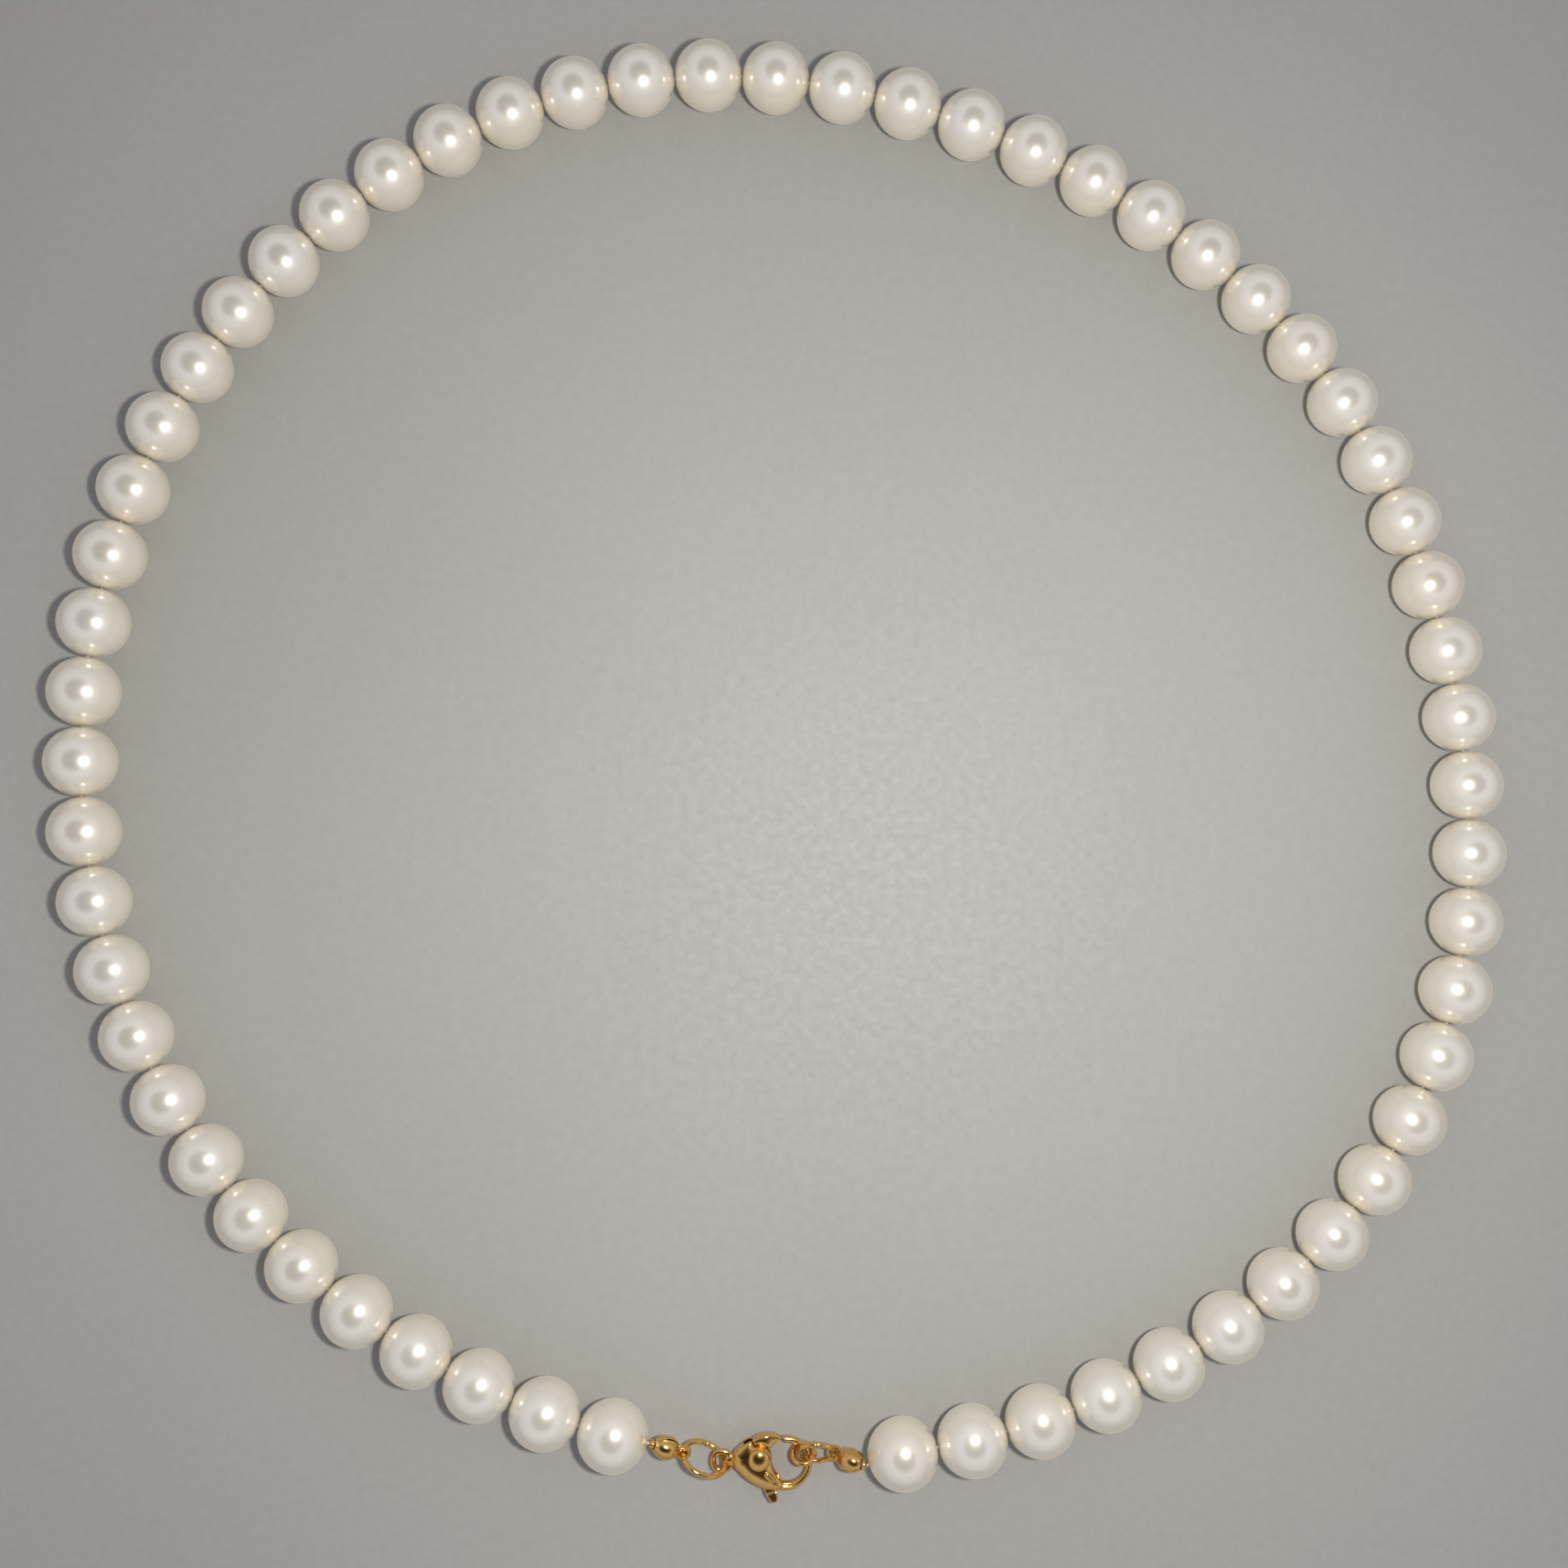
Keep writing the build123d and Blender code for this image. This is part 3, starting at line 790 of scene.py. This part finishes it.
class NECKLACE_OT_bead_tips(bpy.types.Operator):
    """Casts the two clamshell bead tips with their seams and strap loops"""
    bl_idname = "necklace.bead_tips"
    bl_label = "Bead Tips"

    def shape(self, half):
        """The distance shape of a bead tip whose shell has that half length."""
        def egg(x, y, z, shrink):
            long = np.where(x < 0, half + TIP_FRONT, half + TIP_BACK) - shrink
            short = TIP_RADIUS * (0.94 - 0.16 * ease(0.2, half, x)) - shrink
            near = np.sqrt((x / long) ** 2 + (y / short) ** 2 + (z / short) ** 2)
            slope = np.sqrt((x / long**2) ** 2 + (y / short**2) ** 2 + (z / short**2) ** 2)
            return near * (near - 1) / np.maximum(slope, 1e-6)

        def distance(x, y, z):
            lip = 0.07 * np.exp(-((np.abs(y) - 0.14) / 0.1) ** 2)
            shell = cut(egg(x, y, z, 0) - lip, egg(x, y, z, TIP_WALL), 0.04)
            shell = cut(shell, np.hypot(y, z) - TIP_HOLE + np.maximum(x, 0), 0.06)
            gape = 0.05 + 0.05 * np.clip(1 - (x / half) ** 2, 0, 1)
            seam = np.maximum(np.abs(y) - gape, TIP_HINGE - half - x)
            shell = cut(shell, seam, 0.05)
            ring = np.hypot(x - half - LOOP_REACH, z) - LOOP_RADIUS
            side, flat = np.abs(ring) - 0.1, np.abs(y) - 0.2
            strap = np.hypot(np.maximum(side, 0), np.maximum(flat, 0)) - 0.09
            strap = strap + np.minimum(np.maximum(side, flat), 0)
            return join(shell, np.maximum(strap, half - 0.3 - x), 0.3)
        return distance

    def execute(self, context):
        for side, (matrix, half, _) in strand_ends().items():
            low = (-half - 0.6, -TIP_RADIUS - 0.15, -TIP_RADIUS - 0.15)
            high = (half + LOOP_REACH + 1.0, TIP_RADIUS + 0.15, TIP_RADIUS + 0.15)
            points, faces = cast(self.shape(half), low, high, CAST_STEP * 0.8)
            piece = link_mesh(f"{side}_tip", points * MM, faces, gold())
            piece.matrix_world = matrix
            place_piece(piece, f"{side}_bead_tip", [f"{side}_bead_tip"])
        return {"FINISHED"}


class NECKLACE_OT_jump_rings(bpy.types.Operator):
    """Bends the three rings of round wire, each with the slit where its ends meet"""
    bl_idname = "necklace.jump_rings"
    bl_label = "Jump Rings"

    def execute(self, context):
        for name, (half_length, half_width, wire, _) in RINGS.items():
            straight = half_length - half_width
            whole = 2 * pi * half_width + 4 * straight
            path = []
            for run in np.linspace(RING_SLIT / 2, whole - RING_SLIT / 2, 181):
                path.append(self.on_ring(run, straight, half_width))
            path = np.array(path) * MM
            sections = []
            for k in range(len(path)):
                from_end = min(k, len(path) - 1 - k)
                size = wire * MM * (0.88, 0.97, 1.0)[min(from_end, 2)]
                sections.append([(size * cos(a), size * sin(a))
                                 for a in np.linspace(0, 2 * pi, 28, False)])
            points, faces = skinned(path, sections)
            piece = link_mesh(f"{name}_wire", points, faces, gold(), 2)
            piece.matrix_world = ring_matrix(name)
            place_piece(piece, name, [name])
        return {"FINISHED"}

    def on_ring(self, run, straight, radius):
        """A point on the ring's middle line at a run from the middle of its upper side."""
        arc = pi * radius
        if run <= straight:
            return (run, radius, 0)
        run -= straight
        if run <= arc:
            turn = pi / 2 - run / radius
            return (straight + radius * cos(turn), radius * sin(turn), 0)
        run -= arc
        if run <= 2 * straight:
            return (straight - run, -radius, 0)
        run -= 2 * straight
        if run <= arc:
            turn = -pi / 2 - run / radius
            return (-straight + radius * cos(turn), radius * sin(turn), 0)
        return (-straight + run - arc, radius, 0)


def clasp_matrix():
    """The place of the clasp's own frame, at the lever's pivot."""
    low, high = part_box("clasp_pivot_rivet")
    return Matrix.Translation((low + high) / 2)


class NECKLACE_OT_clasp_body(bpy.types.Operator):
    """Casts the lobster clasp's body: eye, neck, two crowned cheeks and the claw"""
    bl_idname = "necklace.clasp_body"
    bl_label = "Clasp Body"

    def shape(self):
        """The distance shape of the clasp's body."""
        outline = closed_curve(CHEEK_POINTS)

        def distance(x, y, z):
            flat = outline_distance(x, y, outline)
            crown = CROWN_TOP - CROWN_DROP * np.clip(1 + flat / CROWN_RUN, 0, 1) ** 2
            cheeks = plate(flat, z, crown, 0.22)
            root = ROOT_HALF_LENGTH - np.maximum(np.abs(x - ROOT_PLACE[0]),
                                                 np.abs(y - ROOT_PLACE[1]) - ROOT_EXTRA_WIDTH)
            slot = np.maximum(np.maximum(np.abs(z) - SLOT_HALF, HEEL_EDGE - x), root)
            body = cut(cheeks, slot, 0.06)
            neck = rod(x, y, z, NECK_FROM, NECK_TO, NECK_RADIUS)
            body = join(body, neck, 0.3)
            dx, dy = np.abs(x - EYE_CENTRE[0]), np.abs(y - EYE_CENTRE[1])
            around = (dx**EYE_SQUARENESS + dy**EYE_SQUARENESS) ** (1 / EYE_SQUARENESS)
            eye = np.hypot(around - EYE_RADIUS, z) - EYE_WIRE
            body = join(body, eye, 0.16)
            cx, cy = x - CLAW_CENTRE[0], y - CLAW_CENTRE[1]
            turn = np.clip(np.degrees(np.arctan2(cy, cx)), CLAW_FROM, CLAW_TO)
            near_x = CLAW_RADIUS * np.cos(np.radians(turn))
            near_y = CLAW_RADIUS * np.sin(np.radians(turn))
            wire = 0.55 - 0.17 * ease(-95, -35, turn) + 0.04 * ease(60, 100, turn)
            claw = np.sqrt((cx - near_x) ** 2 + (cy - near_y) ** 2 + z**2) - wire
            gate_room = np.where(y > 0, np.hypot(x, y) - CLAW_TIP_FROM_PIVOT, FAR)
            claw = cut(claw, gate_room, 0.14)
            body = join(body, claw, 0.16)
            far = np.hypot(cx, cy)
            shown = ease(-116, -100, turn) * (1 - ease(-62, -44, turn))
            groove = np.hypot(far - GROOVE_RADIUS, np.abs(z) - GROOVE_HEIGHT) - GROOVE_DEPTH * shown
            body = cut(body, groove, 0.05)
            boss = rod(x, y, z, BOSS_FROM, BOSS_TO, BOSS_RADIUS)
            body = join(body, boss, 0.05)
            return cut(body, np.hypot(x, y) - RIVET_HOLE, 0.03)
        return distance

    def execute(self, context):
        points, faces = cast(self.shape(), (-5.7, -3.8, -1.3), (6.4, 2.5, 1.3), CAST_STEP)
        piece = link_mesh("clasp_casting", points * MM, faces, gold())
        piece.matrix_world = clasp_matrix()
        place_piece(piece, "clasp_body", ["clasp_body"])
        return {"FINISHED"}


class NECKLACE_OT_gate_lever(bpy.types.Operator):
    """Casts the lever: its gate, its hub between the cheeks and its thumb tab"""
    bl_idname = "necklace.gate_lever"
    bl_label = "Gate Lever"

    def shape(self):
        """The distance shape of the lever."""
        outline = closed_curve(GATE_POINTS)
        way = (cos(radians(TAB_ANGLE)), sin(radians(TAB_ANGLE)))
        arm_way = (cos(radians(ARM_ANGLE)), sin(radians(ARM_ANGLE)))

        def distance(x, y, z):
            flat = outline_distance(x, y, outline)
            thick = GATE_HALF - 0.32 * ease(0.6, 2.4, x) - 0.14 * np.clip(1 + flat / 0.6, 0, 1) ** 2
            gate = plate(flat, z, thick, 0.22)
            hub = plate(np.hypot(x, y) - LEVER_HUB, z, LEVER_HALF, 0.06)
            along = x * arm_way[0] + y * arm_way[1]
            across = x * arm_way[1] - y * arm_way[0]
            arm_flat = np.maximum(np.abs(along - ARM_HALF_LENGTH) - ARM_HALF_LENGTH,
                                  np.abs(across) - ARM_HALF_WIDTH)
            arm = plate(arm_flat, z, LEVER_HALF, 0.05)
            out, side = x * way[0] + y * way[1], x * way[1] - y * way[0]
            width = 0.5 + 0.2 * ease(2.6, 3.6, out) - 0.18 * ease(3.9, 4.75, out)
            reach = np.clip(out, 0, TAB_REACH)
            tab_flat = np.hypot(out - reach, side) - width
            tab_half = LEVER_HALF + 0.2 * ease(3.74, 4.3, out)
            tab = plate(tab_flat, z, tab_half, 0.2)
            lever = join(join(hub, arm, 0.1), tab, 0.1)
            lever = join(lever, gate, 0.08)
            return cut(lever, np.hypot(x, y) - LEVER_BORE, 0.03)
        return distance

    def execute(self, context):
        points, faces = cast(self.shape(), (-1.6, -5.7, -1.0), (3.2, 3.1, 1.0), CAST_STEP)
        piece = link_mesh("gate_lever_casting", points * MM, faces, gold())
        piece.matrix_world = clasp_matrix()
        place_piece(piece, "clasp_gate_lever", ["clasp_gate_lever"])
        return {"FINISHED"}


class NECKLACE_OT_pivot_rivet(bpy.types.Operator):
    """Turns the rivet with a domed head on each cheek"""
    bl_idname = "necklace.pivot_rivet"
    bl_label = "Pivot Rivet"

    def execute(self, context):
        head = []
        for turn in np.linspace(0, pi / 2, 18):
            head.append((RIVET_HEAD * sin(turn), CHEEK_TOP - 0.04 + 0.59 * cos(turn)))
        head[0] = (0, head[0][1])
        head += [(RIVET_HEAD, 0.78), (RIVET_HEAD - 0.05, 0.72), (RIVET_STEM + 0.04, 0.72),
                 (RIVET_STEM, 0.68), (RIVET_STEM, 0.3)]
        profile = head + [(r, -z) for r, z in head[::-1]]
        points, faces = turned([(r * MM, z * MM) for r, z in profile], 64)
        piece = link_mesh("rivet_turning", points, faces, gold())
        piece.matrix_world = clasp_matrix()
        place_piece(piece, "clasp_body", ["clasp_pivot_rivet"])
        return {"FINISHED"}


class NECKLACE_OT_leaf_spring(bpy.types.Operator):
    """Bends the strip that keeps the gate shut"""
    bl_idname = "necklace.leaf_spring"
    bl_label = "Leaf Spring"

    def execute(self, context):
        pivot = clasp_matrix().translation
        path = []
        for angle in np.radians(np.linspace(SPRING_FROM, SPRING_TO, 48)):
            path.append((SPRING_CENTRE[0] + SPRING_RADIUS * cos(angle),
                         SPRING_CENTRE[1] + SPRING_RADIUS * sin(angle), 0.0))
        strip = []
        for corner, (side, flat) in enumerate(((1, 1), (-1, 1), (-1, -1), (1, -1))):
            for turn in np.radians(np.linspace(0, 90, 4) + 90 * corner):
                strip.append((side * 0.36 + 0.04 * cos(turn), flat * 0.02 + 0.04 * sin(turn)))
        points, faces = skinned(path, [strip] * len(path))
        points = points * MM + np.array(pivot)
        piece = link_mesh("spring_strip", points, faces, material_for(
            "spring_steel", spring_steel, context.scene.necklace_metal), 2)
        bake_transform(piece)
        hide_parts("clasp_leaf_spring")
        return {"FINISHED"}


class NECKLACE_OT_studio(bpy.types.Operator):
    """Sets the table, the soft light and the camera"""
    bl_idname = "necklace.studio"
    bl_label = "Studio"

    def execute(self, context):
        look = context.scene.necklace_studio
        size = 1.6
        points = [(-size, -size, 0), (size, -size, 0), (size, size, 0), (-size, size, 0)]
        floor = link_mesh("table", points, [(0, 1, 2, 3)], table_top(look))
        self.add_camera(look)
        self.add_room(look)
        self.add_lights(look)
        context.scene.view_settings.view_transform = "Standard"
        return {"FINISHED"}

    def add_camera(self, look):
        """The camera over the table."""
        camera = bpy.data.objects.new("camera", bpy.data.cameras.new("camera"))
        camera.data.lens = look.lens
        camera.data.sensor_width = 36.0
        camera.data.clip_start = 0.01
        camera.location = look.camera_place
        camera.rotation_euler = look.camera_turn
        bpy.context.scene.collection.objects.link(camera)
        bpy.context.scene.camera = camera

    def add_room(self, look):
        """A pale room: brightest partway up, dimmer overhead and near the horizon."""
        world = bpy.data.worlds.new("room")
        bpy.context.scene.world = world
        world.use_nodes = True
        tree = world.node_tree
        way = node(tree, "ShaderNodeTexCoord").outputs["Generated"]
        height = node(tree, "ShaderNodeSeparateXYZ", {"Vector": way}).outputs["Z"]
        ramp = node(tree, "ShaderNodeValToRGB", {"Fac": height})
        ramp.color_ramp.interpolation = "EASE"
        stops = ((0.0, (0.62, 0.60, 0.58)), (0.25, (0.85, 0.85, 0.88)), (0.5, (1.0, 1.02, 1.12)),
                 (0.74, (1.1, 1.15, 1.34)), (0.88, (0.25, 0.24, 0.27)), (0.94, (0.05, 0.045, 0.05)))
        first, last = ramp.color_ramp.elements
        first.position, first.color = stops[0][0], (*stops[0][1], 1)
        last.position, last.color = stops[-1][0], (*stops[-1][1], 1)
        for place, colour in stops[1:-1]:
            ramp.color_ramp.elements.new(place).color = (*colour, 1)
        background = tree.nodes["Background"]
        tree.links.new(ramp.outputs["Color"], background.inputs["Color"])
        background.inputs["Strength"].default_value = look.room

    def add_lights(self, look):
        """A small key light beside the camera."""
        eye = Vector(look.camera_place)
        self.area("key_light", eye + Vector((30 * MM, 0, 0)), Vector((0, 0, 0)), 14 * MM, look.key,
                  (1.0, 0.98, 0.95))

    def area(self, name, place, target, size, power, colour):
        """A round area light that faces a target."""
        light = bpy.data.lights.new(name, "AREA")
        light.shape = "DISK"
        light.size = size
        light.energy = power
        light.color = colour
        lamp = bpy.data.objects.new(name, light)
        lamp.location = place
        lamp.rotation_euler = (target - place).to_track_quat("-Z", "Y").to_euler()
        bpy.context.scene.collection.objects.link(lamp)


class VIEW3D_PT_necklace(bpy.types.Panel):
    """Lists the necklace's pieces"""
    bl_label = "Necklace"
    bl_space_type = "VIEW_3D"
    bl_region_type = "UI"
    bl_category = "Necklace"

    def draw(self, context):
        for operator in OPERATORS:
            self.layout.operator(operator.bl_idname)
        for name, look in LOOKS.items():
            box = self.layout.box()
            for prop in look.__annotations__:
                box.prop(getattr(context.scene, name), prop)


LOOKS = {
    "necklace_pearls": PearlLook,
    "necklace_thread": ThreadLook,
    "necklace_metal": MetalLook,
    "necklace_studio": StudioLook,
}
OPERATORS = (
    NECKLACE_OT_pearls,
    NECKLACE_OT_thread,
    NECKLACE_OT_crimp_beads,
    NECKLACE_OT_bead_tips,
    NECKLACE_OT_jump_rings,
    NECKLACE_OT_clasp_body,
    NECKLACE_OT_gate_lever,
    NECKLACE_OT_pivot_rivet,
    NECKLACE_OT_leaf_spring,
    NECKLACE_OT_studio,
)
CLASSES = (*LOOKS.values(), *OPERATORS, VIEW3D_PT_necklace)


def register():
    """Registers every class and hangs the looks on the scene."""
    for each in CLASSES:
        bpy.utils.register_class(each)
    for name, look in LOOKS.items():
        setattr(bpy.types.Scene, name, PointerProperty(type=look))


def unregister():
    """Takes everything off again."""
    for name in LOOKS:
        delattr(bpy.types.Scene, name)
    for each in reversed(CLASSES):
        bpy.utils.unregister_class(each)


def main():
    """Builds every piece."""
    register()
    for operator in OPERATORS:
        area, name = operator.bl_idname.split(".")
        getattr(getattr(bpy.ops, area), name)()


if __name__ == "__main__":
    main()
